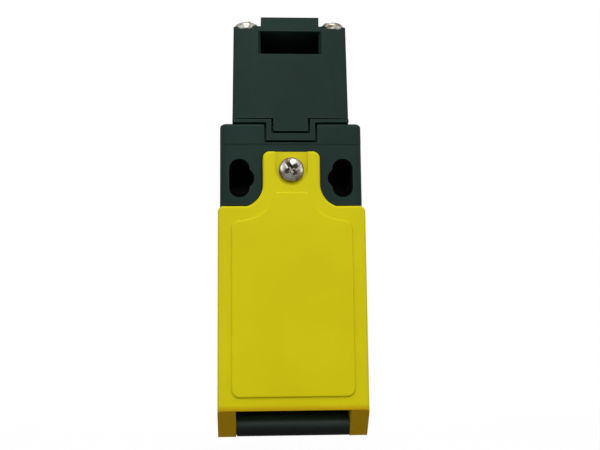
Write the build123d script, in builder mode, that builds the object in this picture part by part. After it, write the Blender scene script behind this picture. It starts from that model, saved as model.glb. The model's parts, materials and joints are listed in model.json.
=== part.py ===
"""Tongue interlock switch in a narrow plastic housing with a hinged wiring cover.

All sizes are in millimetres. X runs to the right as the front is seen, Y runs back towards the
mounting surface and Z runs up. The origin lies on the rear mounting face, midway between the two
fixing slots, so everything else is in front of it, at negative Y.
"""
from build123d import *
import math
import os

# Fixing slots, which take screws at either of two standard pitches
fixing_pitch_wide = 22.0
fixing_pitch_narrow = 20.0
fixing_slot_width = 4.4
fixing_slot_height = 8.4
fixing_recess_depth = 6.0

# Housing envelope, with heights measured from the line of the fixing slots
body_width = 30.3
body_depth = 31.0
body_top = 11.9
body_foot_depth = 54.0
body_front_radius = 1.5
body_rear_radius = 0.8
body_top_radius = 0.8
band_height = 7.4
band_rise = 0.15
cover_reach = 9.0
tub_wall = 2.0
rear_wall = 2.0
flange_thickness = 1.6
floor_thickness = 5.0
cavity_ceiling = -7.5

# Collar that reaches forward into the cover and carries the seal
collar_gap = 0.7
collar_wall = 1.4
collar_reach = 7.2
collar_foot_height = 8.5

# Cover
cover_overhang = 0.35
cover_proud = 2.1
cover_wall = 2.6
cover_tongue_gap = 0.3
cover_back_gap = 0.1
skirt_wall = 1.8
skirt_gap = 0.25
swing_gap = 0.45
shoulder_drop = 6.35
ear_radius = 4.95
ear_centre_z = -1.7
tongue_top = 5.4
tongue_corner_radius = 1.5
cover_corner_radius = 1.2
cover_edge_radius = 0.6
chamfer_height = 5.45
shelf_thickness = 1.6
shelf_gap = 0.3
leg_width = 3.7
leg_sweep_gap = 0.3
panel_rise = 0.4
panel_inset = 2.8
panel_foot_height = 8.1
panel_top = -3.5
panel_corner_radius = 1.8
panel_edge_radius = 0.36

# Hinge at the foot of the cover
hinge_bar_radius = 2.25
hinge_setback = 6.1
hinge_foot_gap = 0.05
hinge_end_gap = 0.2
hinge_web_thickness = 3.0
hinge_pin_radius = 1.2
hinge_pin_clearance = 0.05
hinge_pin_reach = 1.5
hinge_pin_end_gap = 0.3

# Cover screw, the ring that keeps it in the cover, and its threaded insert
screw_z = 1.45
screw_pocket_radius = 3.45
screw_pocket_depth = 1.0
cover_screw_head_radius = 2.65
cover_screw_head_height = 1.5
cover_screw_core_radius = 1.6
cover_screw_length = 7.4
cover_screw_hole_radius = 2.15
cross_width = 0.8
cross_length = 3.0
cross_depth = 0.9
ring_clearance = 0.05
ring_radius = 3.0
ring_thickness = 0.8
cover_insert_radius = 2.9
cover_insert_length = 6.2
cover_insert_bore = 2.05
insert_seat_gap = 0.02

# Cable entry, an M20 x 1.5 thread drawn at its core
entry_radius = 9.19

# Seals
cover_seal_width = 2.0
cover_seal_gap = 0.12
cover_seal_overhang = 0.3
head_seal_inner = 5.4
head_seal_width = 2.0
head_seal_height = 1.0
head_seal_proud = 0.2
head_seal_gap = 0.05

# Head
head_width = 25.0
head_height = 20.65
head_top_inset = 0.25
head_wall = 2.0
head_foot_gap = 0.2
head_edge_radius = 0.6
facet_foot_half = 9.4
facet_top_half = 7.6
facet_fall = 0.5
block_screw_gap = 0.35
block_height = 2.0
screw_recess_radius = 3.05
screw_recess_depth = 0.5
tab_width = 7.4
tab_drop = 2.85
tab_thickness = 1.3
tab_corner_radius = 0.45

# Base plate between head and housing, with a loop round the tab of the head
plate_thickness = 0.75
loop_strip = 1.1
loop_foot_strip = 1.6
loop_gap = 0.45
loop_thickness = 1.4
post_width = 2.6
post_side_gap = 0.15
post_top_gap = 0.05

# Head screws, M3 pan head, and their threaded inserts
head_screw_inset = 3.1
head_screw_radius = 1.45
head_screw_hole_radius = 1.65
head_screw_head_radius = 2.75
head_screw_head_height = 2.3
head_screw_engagement = 5.4
head_insert_radius = 2.0
head_insert_length = 5.7
head_insert_bore = 1.5

# Key slots
key_slot_side_wall = 1.5
key_slot_height = 4.4
front_slot_lip = 0.45
front_slot_height = 4.8
key_mouth_overhang = 0.75
key_mouth_height = 5.3
key_mouth_depth = 1.0
key_slot_offset = 7.2
front_slot_z = 30.0
chamber_side_gap = 2.0
chamber_headroom = 0.2

# Key wheel, its cams and its axle
axle_radius = 1.5
axle_seat = 2.2
axle_clearance = 0.05
axle_groove_gap = 0.05
wheel_turn = 60.0
wheel_tip_radius = 8.2
wheel_root_radius = 3.9
wheel_tooth_width = 2.6
wheel_tooth_tip_radius = 0.6
wheel_tooth_angles = (118.0, 35.0)
wheel_disc_width = 4.4
wheel_shoulder = 1.7
wheel_hub_radius = 2.9
wheel_side_gap = 0.4
cam_high = 7.0
cam_lift = 3.0
cam_gap = 0.05
cam_points = 9

# Plunger, its guide bush, seal, washer and spring
plunger_radius = 2.0
plunger_clearance = 0.05
plunger_head_radius = 4.5
plunger_head_height = 1.5
plunger_foot = -10.4
plunger_foot_gap = 0.02
bush_radius = 2.6
bush_gap = 0.02
bush_foot = -6.9
spring_pocket_radius = 4.2
spring_pocket_depth = 6.9
plunger_seal_radius = 3.9
plunger_seal_bore_gap = 0.3
plunger_seal_height = 1.2
washer_radius = 4.1
washer_bore_gap = 0.1
washer_thickness = 0.5
plunger_spring_radius = 3.1
plunger_spring_wire = 0.6
plunger_spring_turns = 4
spring_end_gap = 0.02

# Contact block
block_gap = 0.4
block_rear_gap = 0.2
contact_top = -11.3
contact_foot = -37.0
contact_front_gap = 1.4
contact_side_wall = 0.8
contact_roof = 1.5
contact_floor = 1.3
contact_web = 1.8
contact_rib_width = 0.85
contact_rib_reach = 1.1
contact_rear_wall = 1.6

# Sliding carrier with a window for each bridge
slider_size = 6.0
slider_gap = 0.15
slider_top = -16.0
slider_foot = -31.0
stem_radius = 2.4
window_height = 5.2
upper_window_top = -16.8
lower_window_top = -24.2
window_depth = 4.2

# Contact bridges, fixed contacts and terminals
bridge_length = 13.0
bridge_width = 3.6
bridge_thickness = 0.8
bridge_travel = 2.0
bridge_gap = 0.05
tip_radius = 1.1
tip_height = 0.6
tip_offset = 5.4
tip_gap = 0.02
strip_thickness = 0.8
strip_slider_gap = 1.1
strip_side_gap = 0.1
strip_rear = 2.0
strip_front = 5.05
tab_length = 5.1
shelf_support = 1.0
cap_thickness = 1.6
cap_side_gap = 0.1
cap_slot_gap = 0.1
cap_rib_gap = 0.2
cap_rib_height = 1.5
terminal_screw_share = 0.4
terminal_hole_gap = 0.05
terminal_head_margin = 0.5
terminal_head_height = 1.8
terminal_screw_length = 4.3
clamp_margin = 0.3
clamp_thickness = 0.8
slot_cut_width = 0.8
slot_cut_depth = 0.8
contact_spring_radius = 1.35
contact_spring_wire = 0.45
contact_spring_turns = 4
return_spring_radius = 2.0
return_spring_wire = 0.5
return_spring_turns = 5

# Places worked out from the sizes above
parting_depth = body_depth - cover_reach
foot_z = -body_foot_depth
body_front = -body_depth
band_face = body_front - band_rise
cover_face = body_front - cover_proud
cover_back = cover_face + cover_wall
cover_half = body_width / 2 + cover_overhang
fixing_x = fixing_pitch_wide / 2
fixing_web = body_depth - fixing_recess_depth
shoulder_z = -shoulder_drop
block_under = shoulder_z + swing_gap
skirt_back = -parting_depth - skirt_gap
skirt_inner_half = cover_half - skirt_wall
skirt_inner_top = shoulder_z - skirt_wall
notch_half = cover_half - leg_width
notch_top = foot_z + chamfer_height
bar_half = notch_half - hinge_end_gap
hinge_y = cover_face + hinge_setback
hinge_z = foot_z + hinge_bar_radius + hinge_foot_gap
floor_front = hinge_y + hinge_bar_radius
floor_top = foot_z + floor_thickness
collar_half = skirt_inner_half - collar_gap
collar_top = skirt_inner_top - collar_gap
collar_foot = foot_z + collar_foot_height
collar_rim = -parting_depth - collar_reach
entry_y = floor_front / 2
screw_seat_y = cover_face + screw_pocket_depth
cover_insert_face = cover_back + cover_back_gap
plate_foot = body_top + head_seal_proud
plate_top = plate_foot + plate_thickness
head_foot = plate_top + head_foot_gap
head_top = head_foot + head_height
head_back = band_face + head_width
head_centre_y = band_face + head_width / 2
head_screw_offset = head_width / 2 - head_screw_inset
head_screw_seat = head_top - screw_recess_depth
head_screw_tip = body_top - head_screw_engagement
block_width = 2 * (head_screw_offset - head_screw_head_radius - block_screw_gap)
key_slot_width = block_width - 2 * key_slot_side_wall
key_mouth_width = block_width + 2 * key_mouth_overhang
chamber_width = key_slot_width + 2 * chamber_side_gap
front_slot_width = chamber_width - 2 * front_slot_lip
axle_length = chamber_width + 2 * axle_seat
chamber_front = band_face + head_wall
chamber_back = head_back - head_wall
chamber_top = front_slot_z + key_slot_height / 2 + chamber_headroom
wheel_y = head_centre_y
wheel_z = front_slot_z - key_slot_offset
top_slot_y = wheel_y + key_slot_offset
plunger_top = wheel_z - cam_high - cam_gap
plunger_head_foot = plunger_top - plunger_head_height
spring_pocket_foot = body_top - spring_pocket_depth
washer_foot = spring_pocket_foot + plunger_seal_height
plunger_spring_foot = washer_foot + washer_thickness + spring_end_gap
contact_half = collar_half - collar_wall - block_gap
contact_back = -rear_wall - block_rear_gap
contact_front = collar_rim + contact_front_gap
contact_inner_half = contact_half - contact_side_wall
contact_inner_top = contact_top - contact_roof
contact_inner_foot = contact_foot + contact_floor
web_front = wheel_y + slider_size / 2 + slider_gap
strip_inner = slider_size / 2 + strip_slider_gap
strip_outer = contact_inner_half - strip_side_gap
cap_rib_half = strip_inner - cap_rib_gap
stem_top = plunger_foot - plunger_foot_gap
nc_bridge_top = upper_window_top - bridge_gap
no_bridge_foot = lower_window_top - window_height + (cam_lift - bridge_travel)
nc_strip_foot = nc_bridge_top + tip_height + bridge_travel + tip_gap + tip_height
no_strip_top = no_bridge_foot - 2 * tip_height - tip_gap
strip_foots = (nc_strip_foot, no_strip_top - strip_thickness)
cap_back = wheel_y - strip_front + 2 * strip_thickness
cap_front = cap_back - cap_thickness
tab_front = cap_front - strip_thickness
terminal_x = (strip_inner + strip_outer) / 2
terminal_head_radius = (strip_outer - strip_inner) / 2 - terminal_head_margin
terminal_screw_radius = terminal_screw_share * (strip_outer - strip_inner) / 2
clamp_half_width = (strip_outer - strip_inner) / 2 - clamp_margin
clamp_half_height = tab_length / 2
terminal_drop = tab_length / 2

head_screw_places = [
    (x, head_centre_y + y)
    for x in (-head_screw_offset, head_screw_offset)
    for y in (-head_screw_offset, head_screw_offset)
]
terminal_places = [(x, foot - terminal_drop) for x in (-terminal_x, terminal_x) for foot in strip_foots]


def save(piece, name):
    """Label one finished piece and write it as its own file."""
    piece.part.label = name
    export_step(piece.part, f"parts/{name}.step")


def front_plane(y):
    """A sketch plane that faces the viewer at this Y: its x runs right and its y runs up."""
    return Plane(origin=(0, y, 0), x_dir=(1, 0, 0), z_dir=(0, -1, 0))


def side_plane(x=0.0, y=0.0, z=0.0):
    """A sketch plane across X: its x runs back along Y and its y runs up."""
    return Plane(origin=(x, y, z), x_dir=(0, 1, 0), z_dir=(1, 0, 0))


def block(x_range, y_range, z_range, mode=Mode.ADD):
    """A plain block between two corners, added to or cut from the part being built."""
    with BuildSketch(Plane.XY.offset(z_range[0])) as outline:
        with Locations(((x_range[0] + x_range[1]) / 2, (y_range[0] + y_range[1]) / 2)):
            Rectangle(x_range[1] - x_range[0], y_range[1] - y_range[0])
    extrude(outline.sketch, amount=z_range[1] - z_range[0], mode=mode)


def upright(radius, x, y, z_range, mode=Mode.ADD):
    """A round pin or bore standing along Z."""
    with BuildSketch(Plane.XY.offset(z_range[0])) as outline:
        with Locations((x, y)):
            Circle(radius)
    extrude(outline.sketch, amount=z_range[1] - z_range[0], mode=mode)


def cross_pin(radius, x_range, y, z, mode=Mode.ADD):
    """A round pin or bore lying along X."""
    with BuildSketch(side_plane(x_range[0])) as outline:
        with Locations((y, z)):
            Circle(radius)
    extrude(outline.sketch, amount=x_range[1] - x_range[0], mode=mode)


def level_pin(radius, x, z, y_front, y_back, mode=Mode.ADD):
    """A round pin or bore lying along Y."""
    with BuildSketch(front_plane(y_back)) as outline:
        with Locations((x, z)):
            Circle(radius)
    extrude(outline.sketch, amount=y_back - y_front, mode=mode)


def tongue_edges(grow, top, foot):
    """Outline of the cover round the two fixing slots, grown by an even margin.

    It rises from a flat foot, narrows round one arc on each side, and ends at a flat top. A top
    below the middle of the arcs cuts the arcs short.
    """
    radius = ear_radius - grow
    level = ear_centre_z - radius
    reach = min(top, ear_centre_z)
    swing = 90 - math.degrees(math.asin((ear_centre_z - reach) / radius))
    neck = fixing_x - math.sqrt(radius**2 - (ear_centre_z - reach) ** 2)
    with BuildLine() as line:
        Polyline((-fixing_x, level), (-fixing_x, foot), (fixing_x, foot), (fixing_x, level))
        CenterArc((fixing_x, ear_centre_z), radius, 270, -swing)
        CenterArc((-fixing_x, ear_centre_z), radius, 270, swing)
        if top > reach:
            Polyline((neck, reach), (neck, top), (-neck, top), (-neck, reach))
        else:
            Line((neck, top), (-neck, top))
    return line.edges()


def helix_spring(coil_radius, wire, turns, foot, top, x=0.0, y=0.0):
    """A coil spring standing along Z between two heights."""
    rise = top - foot - wire
    path = Helix(rise / turns, rise, coil_radius, center=(x, y, foot + wire / 2))
    with BuildPart() as coil:
        with BuildSketch(Plane(origin=path @ 0, z_dir=path % 0)):
            Circle(wire / 2)
        sweep(path=path, is_frenet=True)
    return coil


def make_body_housing():
    """Black housing: rear tub, fixing block, collar, floor and hinge bar."""
    half = body_width / 2
    stages = [
        (-parting_depth, foot_z, block_under),
        (body_front, block_under, band_height),
        (band_face, band_height, body_top),
    ]
    with BuildPart() as housing:
        # The outside in three heights, each reaching further forward
        for front, low, high in stages:
            radius = body_front_radius if front < -parting_depth else body_rear_radius
            with BuildSketch(Plane.XY.offset(low)) as outline:
                with Locations((0, front / 2)):
                    Rectangle(body_width, -front)
                fillet(outline.vertices().group_by(Axis.Y)[0], radius=radius)
                fillet(outline.vertices().group_by(Axis.Y)[-1], radius=body_rear_radius)
            extrude(amount=high - low)
        fillet(edges().group_by(Axis.Z)[-1], radius=body_top_radius)
        # Collar, floor front and hinge bar
        block((-collar_half, collar_half), (collar_rim, -parting_depth), (collar_foot, collar_top))
        block((-bar_half, bar_half), (floor_front, -parting_depth), (foot_z, collar_foot + collar_wall))
        web = hinge_web_thickness / 2
        block((-bar_half, bar_half), (hinge_y, floor_front), (hinge_z - web, hinge_z + web))
        cross_pin(hinge_bar_radius, (-bar_half, bar_half), hinge_y, hinge_z)
        # Wiring space behind the flange and on through the collar
        tub_half = half - tub_wall
        flange_back = -parting_depth + flange_thickness
        collar_inner = collar_half - collar_wall
        block(
            (-tub_half, tub_half),
            (flange_back, -rear_wall),
            (floor_top, cavity_ceiling),
            mode=Mode.SUBTRACT,
        )
        block(
            (-collar_inner, collar_inner),
            (collar_rim, flange_back),
            (collar_foot + collar_wall, collar_top - collar_wall),
            mode=Mode.SUBTRACT,
        )
        # Shallow seat for the tongue of the cover
        with BuildSketch(front_plane(cover_insert_face)) as seat:
            make_face(tongue_edges(cover_tongue_gap, tongue_top + cover_tongue_gap, block_under - 1))
            upper_corners = seat.vertices().group_by(Axis.Y)[-1]
            fillet(upper_corners, radius=tongue_corner_radius + cover_tongue_gap)
        extrude(amount=cover_insert_face - body_front + 1, mode=Mode.SUBTRACT)
        # Fixing slots: keyhole recesses in front, and a standard slot through the rest
        with BuildSketch(front_plane(-fixing_web)):
            for side in (-1, 1):
                with Locations((side * fixing_x, 0)):
                    SlotOverall(fixing_slot_height, fixing_slot_width, rotation=90)
                with Locations((side * fixing_pitch_narrow / 2, 0)):
                    Circle(fixing_slot_width / 2)
        extrude(amount=body_depth, mode=Mode.SUBTRACT)
        slot_length = (fixing_pitch_wide - fixing_pitch_narrow) / 2 + fixing_slot_width
        slot_centre = (fixing_pitch_wide + fixing_pitch_narrow) / 4
        with BuildSketch(front_plane(0)):
            with Locations((-slot_centre, 0), (slot_centre, 0)):
                SlotOverall(slot_length, fixing_slot_width)
        extrude(amount=fixing_web, mode=Mode.SUBTRACT)
        # Notch in the band for the loop of the base plate
        loop_half = tab_width / 2 + 2 * loop_gap + loop_strip
        block(
            (-loop_half, loop_half),
            (band_face - 1, band_face + loop_thickness + loop_gap),
            (head_foot - tab_drop - 2 * loop_gap - loop_foot_strip, body_top + 1),
            mode=Mode.SUBTRACT,
        )
        # Plunger bore with its spring pocket, and the groove of the head seal
        bore_foot = collar_top - collar_wall
        upright(bush_radius + bush_gap, 0, wheel_y, (bore_foot, body_top), mode=Mode.SUBTRACT)
        upright(spring_pocket_radius, 0, wheel_y, (spring_pocket_foot, body_top), mode=Mode.SUBTRACT)
        groove_foot = body_top - head_seal_height + head_seal_proud
        with BuildSketch(Plane.XY.offset(groove_foot)):
            with Locations((0, wheel_y)):
                Circle(head_seal_inner + head_seal_width + head_seal_gap)
                Circle(head_seal_inner - head_seal_gap, mode=Mode.SUBTRACT)
        extrude(amount=body_top - groove_foot, mode=Mode.SUBTRACT)
        # Seats of the threaded inserts
        for x, y in head_screw_places:
            upright(
                head_insert_radius + insert_seat_gap,
                x,
                y,
                (body_top - head_insert_length, body_top),
                mode=Mode.SUBTRACT,
            )
        level_pin(
            cover_insert_radius + insert_seat_gap,
            0,
            screw_z,
            cover_insert_face,
            cover_insert_face + cover_insert_length,
            mode=Mode.SUBTRACT,
        )
        # Holes in the ends of the hinge bar, and the cable entry
        hole_inner = bar_half - hinge_pin_reach - hinge_pin_end_gap
        for low, high in ((-bar_half, -hole_inner), (hole_inner, bar_half)):
            cross_pin(
                hinge_pin_radius + hinge_pin_clearance, (low, high), hinge_y, hinge_z, mode=Mode.SUBTRACT
            )
        upright(entry_radius, 0, entry_y, (foot_z, floor_top), mode=Mode.SUBTRACT)
    return housing


def make_cover():
    """Yellow cover: front wall with a raised panel, skirt, hinge legs and pins."""
    with BuildPart() as cover:
        # Front wall with its tongue, rounded along the front edge
        with BuildSketch(front_plane(cover_back)) as wall:
            with Locations((0, (shoulder_z + foot_z) / 2)):
                Rectangle(2 * cover_half, shoulder_z - foot_z)
            fillet(wall.vertices().group_by(Axis.Y)[-1], radius=cover_corner_radius)
            make_face(tongue_edges(0, tongue_top, shoulder_z - ear_radius))
            fillet(wall.vertices().group_by(Axis.Y)[-1], radius=tongue_corner_radius)
        extrude(amount=cover_wall)
        fillet(edges().group_by(Axis.Y)[0], radius=cover_edge_radius)
        # Skirt that runs back over the collar
        with BuildSketch(front_plane(skirt_back)) as skirt:
            with Locations((0, (shoulder_z + foot_z) / 2)):
                Rectangle(2 * cover_half, shoulder_z - foot_z)
            fillet(skirt.vertices().group_by(Axis.Y)[-1], radius=cover_corner_radius)
            with Locations((0, (skirt_inner_top + foot_z - 1) / 2)):
                Rectangle(2 * skirt_inner_half, skirt_inner_top - foot_z + 1, mode=Mode.SUBTRACT)
        extrude(amount=skirt_back - cover_back)
        # Hinge legs, and the shelf that joins them above the bar
        shelf_top = notch_top + shelf_thickness
        leg_reach = collar_foot - hinge_z - leg_sweep_gap
        leg_top = hinge_z + math.sqrt(leg_reach**2 - (skirt_back - hinge_y) ** 2)
        for low, high in ((-cover_half, -notch_half), (notch_half, cover_half)):
            block((low, high), (cover_back, skirt_back), (foot_z, leg_top))
        block(
            (-skirt_inner_half, skirt_inner_half),
            (cover_back, floor_front - shelf_gap),
            (notch_top, shelf_top),
        )
        block(
            (-notch_half, notch_half),
            (cover_face - 1, cover_back),
            (foot_z - 1, notch_top),
            mode=Mode.SUBTRACT,
        )
        # Slanted foot at the front, rounded foot at the rear
        with BuildSketch(side_plane(-cover_half - 1)):
            with BuildLine():
                Polyline(
                    (cover_face - 1, notch_top + 1),
                    (cover_face + chamfer_height + 1, foot_z - 1),
                    (cover_face - 1, foot_z - 1),
                    close=True,
                )
            make_face()
        extrude(amount=2 * cover_half + 2, mode=Mode.SUBTRACT)
        sweep_radius = -parting_depth - hinge_y - leg_sweep_gap
        with BuildSketch(side_plane(-cover_half - 1)):
            with Locations((hinge_y + sweep_radius, hinge_z - sweep_radius / 2)):
                Rectangle(2 * sweep_radius, sweep_radius)
            with Locations((hinge_y, hinge_z)):
                Circle(sweep_radius, mode=Mode.SUBTRACT)
        extrude(amount=2 * cover_half + 2, mode=Mode.SUBTRACT)
        # Raised panel, which follows the outline of the cover
        panel_half = cover_half - panel_inset
        panel_level = ear_centre_z - ear_radius - panel_inset
        panel_foot = foot_z + panel_foot_height
        with BuildSketch(front_plane(cover_face)) as panel:
            with Locations((0, (panel_level + panel_foot) / 2)):
                Rectangle(2 * panel_half, panel_level - panel_foot)
            fillet(panel.vertices(), radius=panel_corner_radius)
            make_face(tongue_edges(-panel_inset, panel_top, panel_level - ear_radius))
        extrude(amount=panel_rise)
        fillet(edges().group_by(Axis.Y)[0], radius=panel_edge_radius)
        # Pocket for the screw head, open towards the top of the tongue
        pocket_top = tongue_top + 1
        with BuildSketch(front_plane(screw_seat_y)):
            with Locations((0, screw_z)):
                Circle(screw_pocket_radius)
            with Locations((0, (screw_z + pocket_top) / 2)):
                Rectangle(2 * screw_pocket_radius, pocket_top - screw_z)
        extrude(amount=screw_pocket_depth + panel_rise, mode=Mode.SUBTRACT)
        level_pin(cover_screw_hole_radius, 0, screw_z, screw_seat_y, cover_back, mode=Mode.SUBTRACT)
        level_pin(
            ring_radius + ring_clearance,
            0,
            screw_z,
            cover_back - ring_thickness - ring_clearance,
            cover_back,
            mode=Mode.SUBTRACT,
        )
        # Hinge pins
        pin_inner = bar_half - hinge_pin_reach
        for low, high in ((-notch_half, -pin_inner), (pin_inner, notch_half)):
            cross_pin(hinge_pin_radius, (low, high), hinge_y, hinge_z)
    return cover


def make_cover_gasket():
    """Flat seal ring that lies in the cover and meets the rim of the collar."""
    middle = (collar_top + collar_foot) / 2
    width = 2 * (collar_half + cover_seal_overhang)
    height = collar_top - collar_foot + 2 * cover_seal_overhang
    with BuildPart() as seal:
        with BuildSketch(front_plane(collar_rim - cover_seal_gap)):
            with Locations((0, middle)):
                RectangleRounded(width, height, cover_seal_width)
                Rectangle(
                    width - 2 * cover_seal_width, height - 2 * cover_seal_width, mode=Mode.SUBTRACT
                )
        extrude(amount=collar_rim - cover_seal_gap - cover_back)
    return seal


def cut_cross(plane, length, width, depth):
    """Cut a cross recess, or a plain slot where the width stands for both, into the part."""
    with BuildSketch(plane) as cross:
        Rectangle(length, width)
        Rectangle(width, length)
    extrude(cross.sketch, amount=-depth, mode=Mode.SUBTRACT)


def make_cover_screw():
    """Pan head screw with a cross recess, its shank drawn at the core of the thread."""
    head_face = screw_seat_y - cover_screw_head_height
    with BuildPart() as screw:
        level_pin(cover_screw_head_radius, 0, screw_z, head_face, screw_seat_y)
        fillet(edges().group_by(Axis.Y)[0], radius=cover_screw_head_height / 3)
        level_pin(cover_screw_core_radius, 0, screw_z, screw_seat_y, screw_seat_y + cover_screw_length)
        face_plane = Plane(origin=(0, head_face, screw_z), x_dir=(1, 0, 0), z_dir=(0, -1, 0))
        cut_cross(face_plane, cross_length, cross_width, cross_depth)
    return screw


def make_screw_retaining_ring():
    """Ring on the shank that keeps the loosened screw in the cover."""
    with BuildPart() as ring:
        level_pin(ring_radius, 0, screw_z, cover_back - ring_thickness, cover_back)
        level_pin(
            cover_screw_core_radius + ring_clearance,
            0,
            screw_z,
            cover_back - ring_thickness,
            cover_back,
            mode=Mode.SUBTRACT,
        )
    return ring


def make_cover_screw_insert():
    """Threaded insert in the housing for the cover screw."""
    back = cover_insert_face + cover_insert_length
    with BuildPart() as insert:
        level_pin(cover_insert_radius, 0, screw_z, cover_insert_face, back)
        level_pin(cover_insert_bore, 0, screw_z, cover_insert_face, back, mode=Mode.SUBTRACT)
    return insert


def make_head_screw_inserts():
    """Four threaded inserts in the top of the housing."""
    low = body_top - head_insert_length
    with BuildPart() as inserts:
        for x, y in head_screw_places:
            upright(head_insert_radius, x, y, (low, body_top))
            upright(head_insert_bore, x, y, (low, body_top), mode=Mode.SUBTRACT)
    return inserts


def is_upright(edge):
    """Whether an edge runs up rather than across."""
    return edge.bounding_box().size.Z > edge.length / 2


def head_section(half, front, facet_half):
    """Square outline of the head with its two side facets falling back from the front."""
    back = front + 2 * half
    with BuildLine() as line:
        Polyline(
            (-facet_half, front),
            (facet_half, front),
            (half, front + facet_fall),
            (half, back),
            (-half, back),
            (-half, front + facet_fall),
            close=True,
        )
    return line.edges()


def cut_front_slot(plane, depth):
    """Cut the front key slot inward from its mouth: a tapered mouth, then a straight slot."""
    with BuildSketch(plane) as mouth:
        Rectangle(key_mouth_width, key_mouth_height)
    with BuildSketch(plane.offset(-key_mouth_depth)) as throat:
        Rectangle(front_slot_width, front_slot_height)
    loft([mouth.sketch.faces()[0], throat.sketch.faces()[0]], ruled=True, mode=Mode.SUBTRACT)
    extrude(throat.sketch, amount=key_mouth_depth - depth, mode=Mode.SUBTRACT)


def make_head_housing():
    """Black head with the two key slots, the wheel chamber and the four screw holes."""
    half = head_width / 2
    top_front = band_face + head_top_inset
    with BuildPart() as head:
        with BuildSketch(Plane.XY.offset(head_foot)):
            make_face(head_section(half, band_face, facet_foot_half))
        with BuildSketch(Plane.XY.offset(head_top)):
            make_face(head_section(half - head_top_inset, top_front, facet_top_half))
        loft(ruled=True)
        corners = edges().filter_by(is_upright).sort_by(lambda edge: abs(edge.center().X))[-4:]
        fillet(corners, radius=head_edge_radius)
        # Raised block over the slots
        block(
            (-block_width / 2, block_width / 2),
            (top_front, head_back - head_top_inset),
            (chamber_top, head_top + block_height),
        )
        # Tab that fits into the loop of the base plate
        with BuildSketch(front_plane(band_face + tab_thickness)) as tab:
            tab_rise = tab_drop + 1
            with Locations((0, head_foot + 1 - tab_rise / 2)):
                Rectangle(tab_width, tab_rise)
            fillet(tab.vertices().group_by(Axis.Y)[0], radius=tab_corner_radius)
        extrude(amount=tab_thickness)
        # Chamber for the wheel, open at the foot, and the grooves for the axle
        block(
            (-chamber_width / 2, chamber_width / 2),
            (chamber_front, chamber_back),
            (head_foot, chamber_top),
            mode=Mode.SUBTRACT,
        )
        groove_half = axle_radius + axle_groove_gap
        axle_half = axle_length / 2 + axle_groove_gap
        block(
            (-axle_half, axle_half),
            (wheel_y - groove_half, wheel_y + groove_half),
            (head_foot, wheel_z),
            mode=Mode.SUBTRACT,
        )
        cross_pin(groove_half, (-axle_half, axle_half), wheel_y, wheel_z, mode=Mode.SUBTRACT)
        # Key slots at the front and at the top
        front_mouth = Plane(origin=(0, band_face, front_slot_z), x_dir=(1, 0, 0), z_dir=(0, -1, 0))
        cut_front_slot(front_mouth, head_wall)
        top_mouth = Plane(origin=(0, top_slot_y, head_top + block_height))
        cut_top_slot(top_mouth, head_top + block_height - chamber_top)
        # Screw holes with a shallow recess for each head
        for x, y in head_screw_places:
            upright(head_screw_hole_radius, x, y, (head_foot, head_top), mode=Mode.SUBTRACT)
            upright(screw_recess_radius, x, y, (head_screw_seat, head_top), mode=Mode.SUBTRACT)
    return head


def cut_top_slot(plane, depth):
    """Cut the key slot in the top block, which has an even mouth and no taper."""
    with BuildSketch(plane) as slot:
        Rectangle(key_slot_width, key_slot_height)
    extrude(slot.sketch, amount=-depth, mode=Mode.SUBTRACT)


def make_head_base_plate():
    """Plate under the head: a loop round the tab, and two posts that hold up the axle."""
    half = head_width / 2
    inner_half = tab_width / 2 + loop_gap
    outer_half = inner_half + loop_strip
    tab_foot = head_foot - tab_drop
    loop_foot = tab_foot - loop_gap - loop_foot_strip
    with BuildPart() as plate:
        block((-half, half), (band_face, head_back), (plate_foot, plate_top))
        loop_back = band_face + loop_thickness
        block((-outer_half, outer_half), (band_face, loop_back), (loop_foot, plate_foot))
        block(
            (-inner_half, inner_half),
            (band_face, loop_back + loop_gap),
            (tab_foot - loop_gap, plate_top),
            mode=Mode.SUBTRACT,
        )
        upright(spring_pocket_radius, 0, wheel_y, (plate_foot, plate_top), mode=Mode.SUBTRACT)
        for x, y in head_screw_places:
            upright(head_screw_hole_radius, x, y, (plate_foot, plate_top), mode=Mode.SUBTRACT)
        post_top = wheel_z - axle_radius - post_top_gap
        post_inner = chamber_width / 2 + post_side_gap
        post_outer = axle_length / 2 - post_side_gap
        post_front = wheel_y - post_width / 2
        for low, high in ((-post_outer, -post_inner), (post_inner, post_outer)):
            block((low, high), (post_front, post_front + post_width), (plate_top, post_top))
    return plate


def make_head_seal():
    """Seal ring in the top of the housing, round the plunger."""
    with BuildPart() as seal:
        with BuildSketch(Plane.XY.offset(plate_foot - head_seal_height)):
            with Locations((0, wheel_y)):
                Circle(head_seal_inner + head_seal_width)
                Circle(head_seal_inner, mode=Mode.SUBTRACT)
        extrude(amount=head_seal_height)
    return seal


def make_head_screws():
    """Four long pan head screws that hold the head on the housing."""
    crown = head_screw_seat + head_screw_head_height
    with BuildPart() as screws:
        for x, y in head_screw_places:
            upright(head_screw_head_radius, x, y, (head_screw_seat, crown))
        fillet(edges().group_by(Axis.Z)[-1], radius=head_screw_head_height / 2)
        for x, y in head_screw_places:
            upright(head_screw_radius, x, y, (head_screw_tip, head_screw_seat))
            cut_cross(Plane(origin=(x, y, crown)), cross_length, cross_width, 2 * cross_depth)
    return screws


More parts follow.
